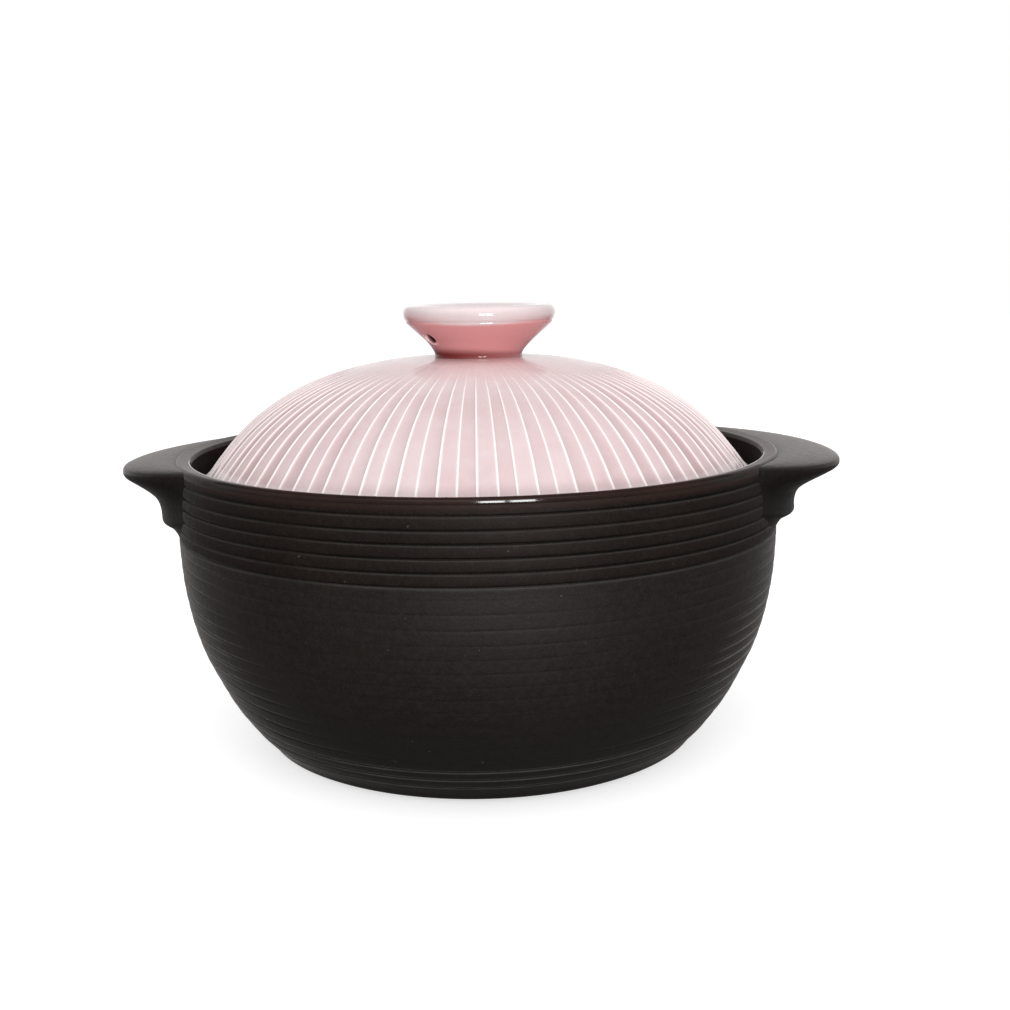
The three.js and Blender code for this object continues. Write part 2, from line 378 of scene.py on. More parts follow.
# ------------------------------------------------------------------ bowl
BOWL_Z = [2.24, 3.92, 7.83, 13.43, 20.15, 29.11, 40.31, 53.75, 67.19, 80.62, 94.06, 107.5]
BOWL_R = [81.70, 82.86, 86.36, 90.57, 95.08, 99.62, 104.55, 108.14, 110.04, 110.69, 110.74, 110.51]
wall = pchip(BOWL_Z, BOWL_R)
# Depths of the turned grooves below the rim, in mm.
GROOVES = [4.95, 9.45, 13.6, 17.95, 22.3, 26.65, 30.6, 35.2, 40.2, 45.1, 49.8, 54.4, 59.0, 63.4, 67.9, 72.7, 77.7, 82.4,
           87.2, 91.9, 95.7, 99.6]


def make_bowl():
    lower = spline([(64.0, 0.0), (68.0, -0.0), (72.0, 0.0), (76.4, 0.45), (79.6, 1.15), (81.7, 2.24)], 0.8)
    zs = np.linspace(2.24, RIM_Z - 2.6, 700)
    path = np.vstack([lower[:-1], np.stack([wall(zs), zs], 1)])
    s = lengths(path)
    sg = np.array([np.interp(RIM_Z - g, path[len(lower) - 1:, 1], s[len(lower) - 1:]) for g in GROOVES])[::-1]
    depth = np.array([0.66 if g < 28 else (0.28 if g < 33 else (0.40 if g < 80 else 0.40)) for g in GROOVES])[::-1]
    half = np.array([0.85 if g < 33 else (0.9 if g < 80 else 0.8) for g in GROOVES])[::-1]
    even = np.array([float(smooth(g, 28, 30) * (1 - smooth(g, 86, 91))) for g in GROOVES])[::-1]
    # glint sets each groove's painted glint line, and dark sets its painted shade
    glint = np.array([0.08 if g < 28 else (0.0 if g < 90 else 0.34) for g in GROOVES])[::-1]
    dark = np.array([1.0 if g < 28 else (0.0 if g < 90 else 0.8) for g in GROOVES])[::-1]
    local = np.array([-1.3, -1.05, -0.9, -0.75, -0.6, -0.45, -0.3, -0.15, 0, 0.15, 0.3, 0.45, 0.6, 0.75, 0.9, 1.05, 1.3])
    grid = np.unique(np.round(np.concatenate([np.arange(0, s[-1], 0.9), [s[-1]], *(c + local * h for c, h in zip(sg, half))]), 3))
    grid = grid[np.concatenate([[True], np.diff(grid) > 0.06])]
    p = np.stack([np.interp(grid, s, path[:, 0]), np.interp(grid, s, path[:, 1])], 1)
    nrm = normals2(np.stack([np.interp(np.clip(grid + 0.0, 0, s[-1]), s, path[:, 0]), p[:, 1]], 1))
    cut = np.zeros(len(grid))
    swell = np.zeros(len(grid))
    for c, h, dp in zip(sg, half, depth):
        x = np.abs(grid - c) / h
        cut = np.maximum(cut, dp * np.clip(1 - x, 0, 1) ** 1.35)
    for a, b2, d0 in zip(sg[:-1], sg[1:], np.minimum(depth[:-1], depth[1:])):
        f = (grid - a) / (b2 - a)
        inside = (f > 0) & (f < 1)
        swell[inside] = 0.36 * d0 * (4 * f[inside] * (1 - f[inside]))
    side = np.abs(np.cos(np.linspace(0, 2 * math.pi, 300, endpoint=False))) ** 1.6
    flanks = smooth(np.abs(np.cos(np.linspace(0, 2 * math.pi, 300, endpoint=False))), 0.50, 0.95)
    # painted glints: a light line just below each groove
    edge_out = np.zeros(len(grid))
    for c, h, q in zip(sg, half, glint):
        edge_out = np.maximum(edge_out, q * np.exp(-(((grid - (c - 0.85 * h)) / 0.24) ** 2)))
    # painted glints below the middle grooves, laid on only at the sides of the pot
    edge_mid = np.zeros(len(grid))
    for c, h, e0 in zip(sg, half, even):
        edge_mid = np.maximum(edge_mid, e0 * np.exp(-(((grid - (c - 0.80 * h)) / 0.34) ** 2)))
    # painted shade inside each groove
    groove_shade = np.zeros(len(grid))
    for c, h, dp, q in zip(sg, half, depth, dark):
        own = dp * np.clip(1 - np.abs(grid - c) / h, 0, 1) ** 1.35
        groove_shade = np.maximum(groove_shade, q * np.clip((own - 0.1) / 0.4, 0, 1) ** 1.3)
    # the fine upper grooves used at the front carry their own painted shade and a faint painted glint
    cut_fine, fine_groove_shade, edge_fine = np.zeros(len(grid)), np.zeros(len(grid)), np.zeros(len(grid))
    upper = np.array([g < 28 for g in GROOVES])[::-1]
    for c in sg[upper]:
        own = 0.66 * np.clip(1 - np.abs(grid - c) / 0.52, 0, 1) ** 1.2
        cut_fine = np.maximum(cut_fine, own)
        fine_groove_shade = np.maximum(fine_groove_shade, np.clip((own - 0.08) / 0.40, 0, 1))
        edge_fine = np.maximum(edge_fine, 0.10 * np.exp(-(((grid - (c - 0.55)) / 0.24) ** 2)))
    # painted highlight on the rib crests
    crest_highlight = np.clip(swell / 0.18, 0, 1)
    # the rim is highest near its outer edge and falls gently towards the inside
    rim = spline([(110.50, RIM_Z - 2.6), (110.59, RIM_Z - 1.9), (110.62, RIM_Z - 1.25), (110.56, RIM_Z - 0.62), (110.40, RIM_Z - 0.06), (110.10, RIM_Z + 0.33),
                  (109.7, RIM_Z + 0.50), (109.2, RIM_Z + 0.45), (108.2, RIM_Z + 0.28), (107.3, RIM_Z + 0.10), (106.8, RIM_Z + 0.01), (106.4, RIM_Z - 0.045), (106.05, RIM_Z - 0.06), (105.75, RIM_Z - 0.12),
                  (105.5, RIM_Z - 0.36), (105.24, RIM_Z - 1.0), (105.12, RIM_Z - 2.0)], 0.20)[1:]
    inside = spline([(105.02, RIM_Z - 2.7), (104.8, RIM_Z - 5.0), (104.6, LEDGE_Z + 2.0), (104.35, LEDGE_Z + 0.7), (103.5, LEDGE_Z + 0.05),
                     (101.5, LEDGE_Z), (99.4, LEDGE_Z), (98.3, LEDGE_Z - 0.35), (97.75, LEDGE_Z - 1.4), (97.6, LEDGE_Z - 4),
                     (98.2, 82), (98.5, 70), (97.2, 54), (94.0, 42), (89.3, 31), (83.0, 21.5), (76.0, 14.8), (67.0, 10.6), (54.0, 8.8),
                     (36.0, 8.5), (16.0, 8.4), (3.0, 8.4)], 1.3)
    base = spline([(3.0, 1.6), (20.0, 1.6), (40.0, 1.58), (58.0, 1.5), (61.8, 1.35), (63.1, 0.8), (64.0, 0.0)], 1.6)[:-1]
    n = 300
    phis = np.linspace(0, 2 * math.pi, n, endpoint=False)
    # the potter's hand: the turned wall and grooves waver a little round the pot
    waver = 0.05 * np.sin(2 * phis + 0.7) + 0.035 * np.sin(5 * phis + 2.1)
    rows_r, rows_z = [], []
    cav, cre, edg, lip = [], [], [], []
    hand = [1 + 0.30 * np.sin(2 * phis + 1.3 * q) + 0.22 * np.sin(5 * phis + 2.1 * q) + 0.16 * np.sin(9 * phis + 0.7 * q) for q in range(len(sg))]
    hand = [np.clip(h0, 0.35, 1.5) * (1 - e0 * (1 - 0.10 - 0.90 * flanks)) * (1 - 0.38 * (1 - e0) * (1 - side)) for h0, e0 in zip(hand, even)]
    # where the handles were luted on, the clay was smoothed over and the upper grooves are a little shallower
    luted = 0.85 + 0.15 * smooth(np.abs(np.sin(phis)), 0.52, 0.68)
    runout = [luted if g < 30 else np.ones(n) for g in GROOVES[::-1]]
    # root makes the upper grooves' painted glints up to five times stronger at the sides of the pot
    root = smooth(np.abs(np.cos(phis)), 0.86, 0.95)
    # a hand's breadth left of the front the upper grooves are rubbed almost smooth
    worn_away = 1 - 0.70 * np.exp(-(((np.cos(phis) + 0.52) / 0.09) ** 2)) * smooth(-np.sin(phis), 0.0, 0.2)
    joint = 1 - smooth(np.abs(np.sin(phis)), 0.44, 0.62)
    beside = 1 - smooth(np.abs(np.sin(phis)), 0.50, 0.72)
    for r, z in base:
        rows_r.append(np.full(n, r)); rows_z.append(np.full(n, z)); cav.append(0); cre.append(0); edg.append(0); lip.append(0)
    for i in range(len(grid)):
        near = int(np.argmin(np.abs(sg - grid[i])))
        vary = hand[near] * runout[near]
        bold = smooth(np.abs(np.cos(phis)), 0.40, 0.85) if upper[near] else np.ones(n)
        if upper[near]:
            vary = vary * worn_away
        high = float(smooth(p[i, 1], 40, 75))
        flank = smooth(np.abs(np.cos(phis)), 0.68 + 0.17 * high, 0.93 + 0.04 * high) * (1 - 0.50 * high)
        off = swell[i] * runout[near] * (1 - even[near] * 0.9 * (1 - flanks)) - (cut[i] * bold + cut_fine[i] * (1 - bold)) * vary
        fade = smooth(p[i, 1], 3, 14)
        rows_r.append(p[i, 0] + nrm[i, 0] * off + waver * fade * smooth(RIM_Z - p[i, 1], 2.0, 6.0))
        rows_z.append(np.maximum(p[i, 1] + nrm[i, 1] * off, 0.0))
        # The grooves' painted shade, plus a painted shadow of the wings on the upper wall beside the handles; the light
        # lines are painted glints.
        cav.append((groove_shade[i] * bold + fine_groove_shade[i] * (1 - bold)) * vary + 0.35 * beside * float(smooth(p[i, 1], 76, 84) * (1 - smooth(p[i, 1], RIM_Z - 4.0, RIM_Z - 1.5)))); cre.append(crest_highlight[i]); edg.append((edge_out[i] * bold * (1 + 4.0 * root * upper[near]) + edge_fine[i] * (1 - bold)) * (worn_away if upper[near] else 1.0) + 0.95 * edge_mid[i] * flank); lip.append(float(smooth(p[i, 1], RIM_Z - 4.2, RIM_Z - 2.4)) * 0.8)
    n_out = len(rows_r)
    # Rim rows: a faint painted highlight on the rim and a painted glint line where the wings meet it.
    for r, z in rim:
        rows_r.append(np.full(n, r)); rows_z.append(np.full(n, z)); cav.append(0); cre.append(0.2); edg.append(0.15 * joint * math.exp(-(((r - 109.95) / 0.42) ** 2)) * float(z > RIM_Z - 0.3)); lip.append(0.6)
    # Inside rows: painted shade in the gallery above the ledge.
    for r, z in inside:
        rows_r.append(np.full(n, r)); rows_z.append(np.full(n, z)); cav.append(0.6 * float(z > LEDGE_Z - 1.0)); cre.append(0); edg.append(0); lip.append(0.0)
    rad, hgt = np.array(rows_r), np.array(rows_z)
    obj = turned("bowl_body", rad, hgt, phis, start_pole=1.6, end_pole=8.4)
    me = obj.data
    put(me, "painted_shade", np.clip(np.concatenate([*(np.broadcast_to(c, n) for c in cav), [0, 0]]), 0, 1))
    put(me, "crest", np.concatenate([np.repeat(cre, n), [0, 0]]))
    put(me, "edge", np.concatenate([*(np.broadcast_to(c, n) for c in edg), [0, 0]]))
    put(me, "lip", np.concatenate([np.repeat(lip, n), [0, 0]]))
    put(me, "low", np.concatenate([((1 - smooth(hgt, 22, 48)) * (np.arange(len(hgt)) < n_out)[:, None]).ravel(), [0, 0]]))
    inner_line = 106.12 + 0.50 * smooth(-np.sin(phis), 0.22, 0.70)
    thin = (1 - smooth(np.sin(phis), -0.28, -0.12))[None] * (1 - smooth(rad - inner_line[None], -0.12, 0.14))
    put(me, "gloss", np.concatenate([np.where(rad < 107.1, thin, smooth(np.abs(np.sin(phis)), 0.60, 0.85)[None]).ravel(), [0, 0]]))
    for m in (MAT_STONE, MAT_INNER, MAT_FOOT, MAT_RIM, MAT_GALLERY, MAT_CREST, MAT_UPPER, MAT_WING, MAT_JOINT):
        me.materials.append(m)
    # foot and base are bare clay, the rolled edges of the rim and the inside are glossy
    seg = np.zeros(len(rad) - 1, np.int32)
    mid = (hgt[:-1, 0] + hgt[1:, 0]) / 2
    midr = (rad[:-1, 0] + rad[1:, 0]) / 2
    k = np.arange(len(seg))
    seg[(k < n_out) & (midr < 74.5) & (mid < 2.0)] = 2
    # The upper wall takes the duller, browner stoneware copy, a painted shade.
    seg[(k < n_out) & (mid > RIM_Z - 26.65)] = 6
    seg[(k >= n_out) & (midr > 109.3) & (mid > RIM_Z - 1.8)] = 3
    seg[(k >= n_out) & (midr > 107.6) & (mid > RIM_Z - 0.16)] = 5
    seg[(k >= n_out) & (midr < 105.7)] = 4
    seg[(k >= n_out) & (midr < 106.80) & (mid > RIM_Z - 1.7)] = 3
    seg[(k >= n_out) & (mid < LEDGE_Z - 0.2)] = 1
    grid_index = np.repeat(seg[:, None], n, 1)
    facing = np.abs(np.sin(phis + math.pi / n))
    grid_index[(seg == 3)[:, None] & (midr > 107)[:, None] & (facing < 0.60)[None]] = 0
    shine = (thin[:-1] + thin[1:]) / 2
    shine = (shine + np.roll(shine, -1, axis=1)) / 2
    grid_index[(seg == 3)[:, None] & (midr < 107)[:, None] & (shine < 0.45)] = 0
    grid_index[(seg == 5)[:, None] & (midr[:, None] < 107.6 + 3.2 * (1 - smooth(facing, 0.60, 0.84))[None])] = 0
    # The rim top beside the handles takes the sheen-lit wing and joint copies, a painted highlight.
    topside = ((k >= n_out) & (midr > 105.6) & (mid > RIM_Z - 0.3))[:, None] & (grid_index == 0)
    grid_index[topside & (facing < 0.62)[None]] = 8
    grid_index[topside & (facing < 0.50)[None]] = 7
    index = np.concatenate([grid_index.ravel(), np.full(n, 2), np.full(n, 1)]).astype(np.int32)
    me.polygons.foreach_set("material_index", index)
    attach(obj, "pot")
    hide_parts("pot_bowl")
    return obj


# ------------------------------------------------------------------ wing handles
SECTION = [
    (-4.0, 1.6), (-1.6, 0.75), (0.6, 0.5), (3.5, 0.45), (8.0, 0.65), (12.0, 1.00), (16.0, 1.55), (19.6, 2.25), (21.6, 2.90), (22.6, 3.40), (23.1, 4.2),
    (23.2, 5.2), (23.05, 6.2), (22.5, 7.1), (21.2, 7.9), (19.2, 8.8), (16.0, 10.3), (12.6, 12.1), (9.9, 14.0), (8.4, 16.0), (7.7, 18.0), (7.5, 20.0), (7.3, 21.6),
    (6.8, 22.7), (5.4, 23.5), (3.4, 24.3), (1.6, 25.7), (0.0, 27.9), (-1.6, 30.8), (-2.8, 32.6), (-4.0, 33.6),
]


def make_handle(name, node, turn, reach_mm, half_angle, plan, fullness, swing, droop, lower, tilt, slim):
    """Wing with its bracket. The two wings are hand-made, so each has its own reach, width and droop."""
    sec = spline(SECTION, 0.5)
    out, down = sec[:, 0], sec[:, 1]
    out = np.where(out > 8, 8 + (out - 8) * (reach_mm - 8) / (23.2 - 8), out)
    out = out - slim * smooth(down, 5.6, 8.0) * (1 - 0.45 * smooth(down, 12, 18)) * (1 - smooth(down, 20.5, 22.6))
    ts = np.sin(np.linspace(-1, 1, 161) * math.pi / 2) * 0.35 + np.linspace(-1, 1, 161) * 0.65
    lip0, under0, full0 = 5.2, 8.8, 29.2
    verts, edge, hollow = [], [], []
    for t in ts * 1.06:
        tt = min(abs(t), 1.0)
        reach = max(1 - tt ** plan, 0.0) ** fullness
        lip = lip0 * droop * (0.3 + 0.7 * reach)
        under = lip + (under0 - lip0) + 1.2 * (1 - reach)
        deepest = (full0 + lower) * (1 - 0.38 * tt ** 4)
        d = np.where(
            down <= lip0, down * lip / lip0,
            np.where(down <= under0, lip + (down - lip0) * (under - lip) / (under0 - lip0),
                     under + (down - under0) * (deepest - under) / (full0 - under0)))
        d = np.where((out < 0.6) & (down < lip0), np.maximum(d, 0.45), d)
        z = RIM_Z - d + tilt * t * smooth(out, 2, 20) * reach
        sink = 1.1 * (1 - reach) ** 3 + 2.2 * max(abs(t) - 1.0, 0) / 0.06
        o = np.maximum(np.where(out > 0, out * reach, out) - sink, -4.3)
        r = wall(np.clip(z, 3, RIM_Z)) + o
        a = math.radians(half_angle * t + swing)
        verts.append(np.stack([r * math.cos(a), r * math.sin(a), z], 1))
        # A painted highlight along the wing's outer edge, and painted shade under the wing.
        edge.append(np.clip(1 - np.abs(down - 4.4) / 1.6, 0, 1) * (out > 10) * reach)
        hollow.append(smooth(down, 5.2, 8.0) * (1 - smooth(down, 25, 30)) * (0.45 + 0.4 * reach))
    n, k = len(verts), len(sec)
    v = np.vstack(verts)
    i, j = np.meshgrid(np.arange(n - 1), np.arange(k - 1), indexing="ij")
    a = (i * k + j).ravel()
    quads = np.stack([a, a + k, a + k + 1, a + 1], 1)
    # close the buried back and the two buried ends
    back = np.arange(n - 1) * k
    quads = np.vstack([quads, np.stack([back + k - 1, back + 2 * k - 1, back + k, back], 1)])
    tris = []
    for base, flip in ((0, False), ((n - 1) * k, True)):
        for q in range(1, k - 1):
            tris.append((base, base + q + 1, base + q) if flip else (base, base + q, base + q + 1))
    if turn:
        v = v * np.array([-1.0, -1.0, 1.0])
    obj = new_object(name, v, quads, tris)
    put(obj.data, "painted_shade", np.concatenate(hollow))
    put(obj.data, "crest", np.concatenate(edge))
    obj.data.materials.append(MAT_WING)
    obj.data.materials.append(MAT_SHADE)
    # The underside takes the duller stoneware copy, a painted shade.
    middle = (down[:-1] + down[1:]) / 2
    strip = np.where((middle > 5.3), 1, 0)
    index = np.concatenate([np.tile(strip, n - 1), np.ones(n - 1 + len(tris), int)]).astype(np.int32)
    obj.data.polygons.foreach_set("material_index", index)
    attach(obj, "pot")
    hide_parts(node)
    return obj


# ------------------------------------------------------------------ lid
FLUTES = 48
KNOB_SHIFT = 1.5   # the knob was luted on this far to the right of the lid's middle, mm
LID_PROFILE = [
    (7.0, 142.35), (14.0, 142.15), (24.0, 141.6), (32.0, 140.8), (40.0, 139.45), (47.0, 137.75), (54.0, 135.6), (60.0, 133.4), (66.0, 130.7),
    (72.0, 127.4), (78.0, 123.4), (83.9, 118.6), (89.6, 112.8), (94.2, 107.3), (98.3, 102.3), (101.0, 99.75),
]


def make_lid():
    rng = np.random.default_rng(48)
    outer = spline(LID_PROFILE, 1.15)
    outer[:, 0] += 0.55 * smooth(outer[:, 0], 25, 60) * (1 - smooth(outer[:, 0], 96, 100.5))
    rim = spline([(101.0, 99.75), (101.75, 98.9), (101.85, 98.3), (101.5, 97.9), (100.7, 97.78), (98.2, 97.78), (96.9, 97.85), (96.2, 98.3), (95.3, 99.3)], 0.35)[1:]
    nr = normals2(outer)
    inner = (outer - nr * -5.6)[:-3][::-1]
    inner = inner[(inner[:, 0] > 7.2)]
    inner = np.vstack([spline([tuple(rim[-1]), tuple((rim[-1] + inner[2]) / 2), tuple(inner[4])], 1.0)[1:-1], inner[4:]])
    hole = spline([(7.4, 136.9), (7.0, 137.6), (6.9, 139.5), (6.9, 141.4), (7.0, 142.35)], 0.9)[:-1]
    # angles: closer together at the two edges of every flute
    offs = np.array([-2.20, -2.08, -1.97, -1.88, -1.80, -1.72, -1.63, -1.54, -1.44, -1.32, -1.1, -0.6, 0.0, 0.6, 1.1, 1.32, 1.44, 1.54, 1.63, 1.72,
                     1.80, 1.88, 1.97, 2.08, 2.20, 2.5, 3.2, 3.9, 4.6])
    centre = np.arange(FLUTES) * 360.0 / FLUTES + rng.uniform(-0.16, 0.16, FLUTES) - 90.9
    width = rng.uniform(0.93, 1.07, FLUTES)
    phi, edge, floor, bead, sidew = [], [], [], [], []
    for c, w in zip(centre, width):
        for o in offs:
            oo = o * w if abs(o) < 2.3 else o
            phi.append(c + oo)
            edge.append(1.0 - float(smooth(abs(abs(o) - 1.84), 0.08, 0.40)))
            bead.append(1.0 - float(smooth(abs(abs(o) - 1.80), 0.06, 0.36)))
            floor.append(max(1.0 - (o / 1.66) ** 2, 0.0) ** 0.8)
            sidew.append(1.0 - float(smooth(abs(o), 1.00, 1.58)))
    phi, edge, floor, bead, sidew = np.radians(phi), np.array(edge), np.array(floor), np.array(bead), np.array(sidew)
    # a slightly crowned land between the flutes
    land = np.tile(np.where(np.abs(offs) < 2.0, 0, np.clip(1 - ((np.where(offs < 0, offs + 7.5, offs) - 3.75) / 2.0) ** 2, 0, 1)), FLUTES)
    n = len(phi)
    # the flutes start faint at the knob and reach their full depth on the shoulder
    run = 0.05 * smooth(outer[:, 0], 22.0, 36.0) + 0.95 * smooth(outer[:, 0], 42.0, 68.0)
    rows_r, rows_z, e_rows, f_rows, pale_rows = [], [], [], [], []
    # ahead weights the front of the crown, where a painted highlight and a painted reflection of the knob are laid on;
    # flank weights the sides, where painted shade is laid on.
    ahead = smooth(-np.sin(phi), 0.30, 0.95)
    flank = smooth(np.abs(np.cos(phi)), 0.35, 0.85)
    for i, (r, z) in enumerate(outer):
        d = run[i] * (-0.46 * floor + 0.10 * land + 0.28 * bead)
        rows_r.append(r - nr[i, 0] * d)
        rows_z.append(z - nr[i, 1] * d)
        e_rows.append(edge * (0.07 * smooth(r, 20.0, 32.0) + 0.93 * smooth(r, 41.0, 62.0)))
        # painted shade on the flute floors, heavier on the sides
        f_rows.append((0.10 + 0.30 * flank) * sidew * run[i])
        # a pale band near the lower edge, and a painted highlight on the front of the crown
        pale_rows.append(np.full(n, 0.35 * float(smooth(r, 95.4, 96.6))) + 0.17 * ahead * float(1 - smooth(r, 44, 68)))
    for r, z in rim:
        rows_r.append(np.full(n, r)); rows_z.append(np.full(n, z)); e_rows.append(np.zeros(n)); f_rows.append(np.zeros(n)); pale_rows.append(np.full(n, 1.0))
    k_rim = len(rows_r)
    for r, z in inner:
        rows_r.append(np.full(n, r)); rows_z.append(np.full(n, z)); e_rows.append(np.zeros(n)); f_rows.append(np.zeros(n)); pale_rows.append(np.zeros(n))
    for r, z in hole:
        rows_r.append(np.full(n, r)); rows_z.append(np.full(n, z)); e_rows.append(np.zeros(n)); f_rows.append(np.zeros(n)); pale_rows.append(np.zeros(n))
    rad, hgt = np.array(rows_r), np.array(rows_z)
    obj = turned("lid_dome_glazed", rad, hgt, phi, loop=True)
    me = obj.data
    e_rows, f_rows, pale_rows = np.array(e_rows), np.array(f_rows), np.array(pale_rows)
    put(me, "pale", np.clip(e_rows + pale_rows, 0, 1))
    crown = 1 - smooth(rad, 30, 66)
    put(me, "shade", f_rows)
    # deeper pink towards the crown, most at the front as a painted reflection of the knob, and a little painted shade
    # on the sides
    put(me, "deep", np.clip(((0.05 + 0.08 * ahead)[None] * crown + 0.05 * flank[None]) * (np.arange(len(rad)) < len(outer))[:, None], 0, 1))
    # darker red in a ring round the knob's seat
    put(me, "pool_and_shade", (1 - smooth(rad, 17.0, 18.6)) * (np.arange(len(rad)) < len(outer))[:, None] * 0.75)
    for m in (MAT_PINK, MAT_UNDER, MAT_SEAT):
        me.materials.append(m)
    seg = np.zeros(len(rad), np.int32)
    seg[k_rim - 1:] = 1
    zc = (hgt[:, 0] + np.roll(hgt[:, 0], -1)) / 2
    k = np.arange(len(seg))
    seg[(k >= len(outer) + 3) & (k < k_rim - 2) & (zc < 98.05)] = 2
    me.polygons.foreach_set("material_index", np.repeat(seg, n).astype(np.int32))
    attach(obj, "lid")
    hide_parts("lid_dome")
    return obj


# ------------------------------------------------------------------ knob
KNOB_PROFILE = [
    (15.2, 141.0), (16.45, 141.7), (16.25, 142.5), (16.35, 143.2), (17.05, 144.5), (18.4, 146.2), (20.35, 148.2), (22.5, 150.1), (24.0, 151.45), (25.0, 152.35),
    (25.85, 153.15), (26.55, 153.85), (26.95, 154.3), (27.12, 154.6), (27.12, 154.9), (27.06, 155.1), (27.12, 155.28), (27.35, 155.55), (27.65, 156.0), (27.95, 156.8),
    (28.07, 157.7), (27.97, 158.8), (27.5, 159.8), (26.6, 160.5), (25.0, 160.8), (21.5, 160.45), (17.0, 159.5), (10.0, 158.8), (1.5, 158.5),
]
KNOB_HOLLOW = [(1.5, 154.4), (8.0, 154.4), (13.6, 154.1), (15.0, 153.2), (14.6, 151.9), (12.4, 149.6), (9.8, 146.2), (8.9, 143.5), (8.7, 141.0)]
VENT = dict(middle=18.0, height=151.2, bearing=216.0, dip=30.0)


def make_knob():
    outside = spline(KNOB_PROFILE, 0.45)
    hollow = spline(KNOB_HOLLOW, 1.0)
    n = 240
    phis = np.linspace(0, 2 * math.pi, n, endpoint=False)
    # two closed skins are one body: outside up to the dished top, hollow down to the open underside
    prof = np.vstack([outside])
    rad = np.repeat(prof[:, :1], n, 1)
    hgt = np.repeat(prof[:, 1:], n, 1)
    verts = np.stack([rad * np.cos(phis), rad * np.sin(phis), hgt], -1).reshape(-1, 3)
    k = len(prof)
    hr = np.repeat(hollow[:, :1], n, 1)
    hz = np.repeat(hollow[:, 1:], n, 1)
    hv = np.stack([hr * np.cos(phis), hr * np.sin(phis), hz], -1).reshape(-1, 3)
    top, mid = len(verts) + len(hv), len(verts) + len(hv) + 1
    allv = np.vstack([verts, hv, [(0, 0, 158.5), (0, 0, 154.4)]])
    # its foot leans a touch to the left
    allv[:, 0] -= 0.5 * (1 - smooth(allv[:, 2], 142, 149))
    j = np.arange(n)
    jn = (j + 1) % n
    quads = []
    for i in range(k - 1):
        quads.append(np.stack([i * n + j, i * n + jn, (i + 1) * n + jn, (i + 1) * n + j], 1))
    o = k * n
    for i in range(len(hollow) - 1):
        quads.append(np.stack([o + i * n + j, o + i * n + jn, o + (i + 1) * n + jn, o + (i + 1) * n + j], 1))
    last = o + (len(hollow) - 1) * n
    quads.append(np.stack([last + j, last + jn, jn, j], 1))
    tris = np.vstack([
        np.stack([np.full(n, top), (k - 1) * n + j, (k - 1) * n + jn], 1),
        np.stack([np.full(n, mid), o + jn, o + j], 1),
    ])
    # the steam vent was pushed through the wet clay, which left a low lip round its lower edge
    dip, brg = math.radians(VENT["dip"]), math.radians(VENT["bearing"])
    rot = np.array(Matrix.Rotation(brg, 3, "Z") @ Matrix.Rotation(dip, 3, "Y"))
    at = np.array([VENT["middle"] * math.cos(brg), VENT["middle"] * math.sin(brg), VENT["height"]])
    axis = rot @ np.array([1.0, 0, 0])
    below = np.array([math.sin(brg), -math.cos(brg), -0.9])

    def round_vent(points):
        rel = points - at
        along = rel @ axis
        out = rel - along[:, None] * axis[None]
        off = np.linalg.norm(out, axis=1)
        low = smooth((out @ below) / np.maximum(off, 1e-6) / np.linalg.norm(below), -0.1, 0.9)
        return off, along, low

    off, along, low = round_vent(allv[: k * n])
    allv[: k * n] += axis[None] * (0.75 * np.exp(-(((off - 2.6) / 0.75) ** 2)) * low * (along > 1.5))[:, None]
    obj = new_object("lid_knob_glazed", allv, np.vstack(quads), tris)
    # the vent itself, with a softened mouth
    ring = np.array([(2.0, -9.0), (2.0, -4.0), (2.0, 0.0), (2.0, 2.4), (2.06, 3.3), (2.25, 4.1), (2.65, 4.9), (3.35, 5.6), (4.4, 6.2), (5.5, 6.6)])
    m = 40
    a = np.linspace(0, 2 * math.pi, m, endpoint=False)
    cv = np.stack([np.repeat(ring[:, 1:], m, 1), np.repeat(ring[:, :1], m, 1) * np.cos(a), np.repeat(ring[:, :1], m, 1) * np.sin(a)], -1).reshape(-1, 3)
    b0, b1 = len(cv), len(cv) + 1
    cv = np.vstack([cv, [(-9.0, 0, 0), (6.6, 0, 0)]])
    q = np.arange(m)
    qn = (q + 1) % m
    cq = np.vstack([np.stack([i * m + q, i * m + qn, (i + 1) * m + qn, (i + 1) * m + q], 1) for i in range(len(ring) - 1)])
    e = (len(ring) - 1) * m
    ct = np.vstack([np.stack([np.full(m, b0), qn, q], 1), np.stack([np.full(m, b1), e + q, e + qn], 1)])
    cv = cv @ rot.T + at
    cutter = new_object("vent_cutter", cv, cq, ct)
    for ob in (obj, cutter):
        import bmesh
        bm = bmesh.new()
        bm.from_mesh(ob.data)
        bmesh.ops.recalc_face_normals(bm, faces=bm.faces)
        bm.to_mesh(ob.data)
        bm.free()
    mod = obj.modifiers.new("vent", "BOOLEAN")
    mod.operation = "DIFFERENCE"
    mod.solver = "EXACT"
    mod.object = cutter
    dg = bpy.context.evaluated_depsgraph_get()
    done = bpy.data.meshes.new_from_object(obj.evaluated_get(dg))
    obj.modifiers.clear()
    obj.data = done
    bpy.data.objects.remove(cutter)
    done.polygons.foreach_set("use_smooth", np.ones(len(done.polygons), bool))
    done.set_sharp_from_angle(angle=math.radians(50))
    co = np.zeros(len(done.vertices) * 3, np.float32)
    done.vertices.foreach_get("co", co)
    co = co.reshape(-1, 3) / MM
    z = co[:, 2]
    turnv = np.arctan2(co[:, 1], co[:, 0])
    left = 0.5 - 0.5 * np.cos(turnv - math.radians(40))
    done.transform(Matrix.Translation((KNOB_SHIFT * MM, 0, 0)))
